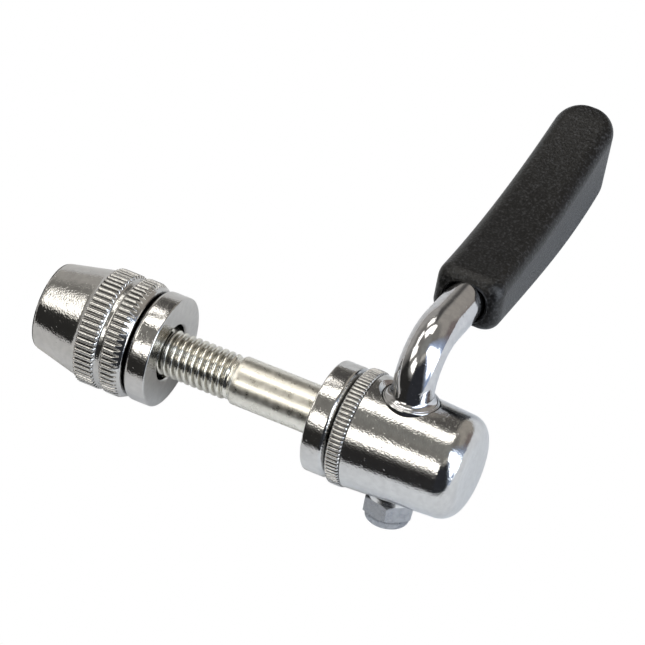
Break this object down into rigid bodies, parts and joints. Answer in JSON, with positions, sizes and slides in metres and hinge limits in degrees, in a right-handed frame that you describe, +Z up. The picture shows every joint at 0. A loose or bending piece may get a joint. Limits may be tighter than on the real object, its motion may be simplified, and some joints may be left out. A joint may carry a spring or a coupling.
{
  "type": "seatpost quick release bolt",
  "caption": "Quick release bolt for a bicycle seat clamp: threaded eye bolt, conical knurled nut, two washers, cam housing and bent lever with a plastic grip.",
  "frame": {"origin": "on the bolt's axis, midway between the clamping faces of the two washers", "axes": "+Z up from the surface that the bolt lies on, +X level and above the bolt's axis from the adjuster nut to the cam housing (the axis itself climbs 4.1 degrees towards +X), +Y level, on the side that the lever's arm lies"},
  "size_m": [0.0785, 0.0833, 0.0305],
  "materials": {
    "chrome_turned": "bright chrome over fine turning marks",
    "chrome_lever": "bright chrome",
    "zinc_bolt": "satin zinc plate",
    "zinc_nut": "dull blue zinc plate",
    "bright_washer": "bright plate",
    "grip_plastic": "fine moulded grain",
    "insert_plastic": "natural nylon"
  },
  "bodies": {
    "bolt": {"eye_bolt": "zinc_bolt"},
    "lever": {"lever_bar": "chrome_lever", "lever_grip": "grip_plastic", "thin_washer": "bright_washer", "lock_nut": "zinc_nut", "lock_nut_insert": "insert_plastic"},
    "cam_housing": {"housing": "chrome_turned"},
    "loose_washer": {"inner_washer": "chrome_turned"},
    "nut_washer": {"outer_washer": "chrome_turned"},
    "nut": {"adjuster_nut": "chrome_turned"}
  },
  "joints": [
    {"name": "lever_swing", "type": "hinge", "parent": "bolt", "child": "lever", "pos_m": [0.02765, 0, 0.00199], "axis": [-0.0591, 0.5709, 0.8189], "continuous": true},
    {"name": "housing_follow", "type": "hinge", "parent": "lever", "child": "cam_housing", "pos_m": [0.02815, 0, 0.00203], "axis": [-0.0591, 0.5709, 0.8189], "continuous": true},
    {"name": "washer_slide", "type": "slide", "parent": "cam_housing", "child": "loose_washer", "axis": [-0.9974, 0, -0.072], "range_m": [0, 0.012]},
    {"name": "nut_travel", "type": "slide", "parent": "bolt", "child": "nut_washer", "axis": [0.9974, 0, 0.072], "range_m": [-0.014, 0.015]},
    {"name": "nut_spin", "type": "hinge", "parent": "nut_washer", "child": "nut", "pos_m": [-0.02172, 0, -0.00157], "axis": [0.9974, 0, 0.072], "range_deg": [-4032, 4320]}
  ],
  "couplings": [
    {"joint": "housing_follow", "follows": "lever_swing", "ratio": -1},
    {"joint": "nut_spin", "follows": "nut_travel", "rad_per_m": 5026.5}
  ]
}
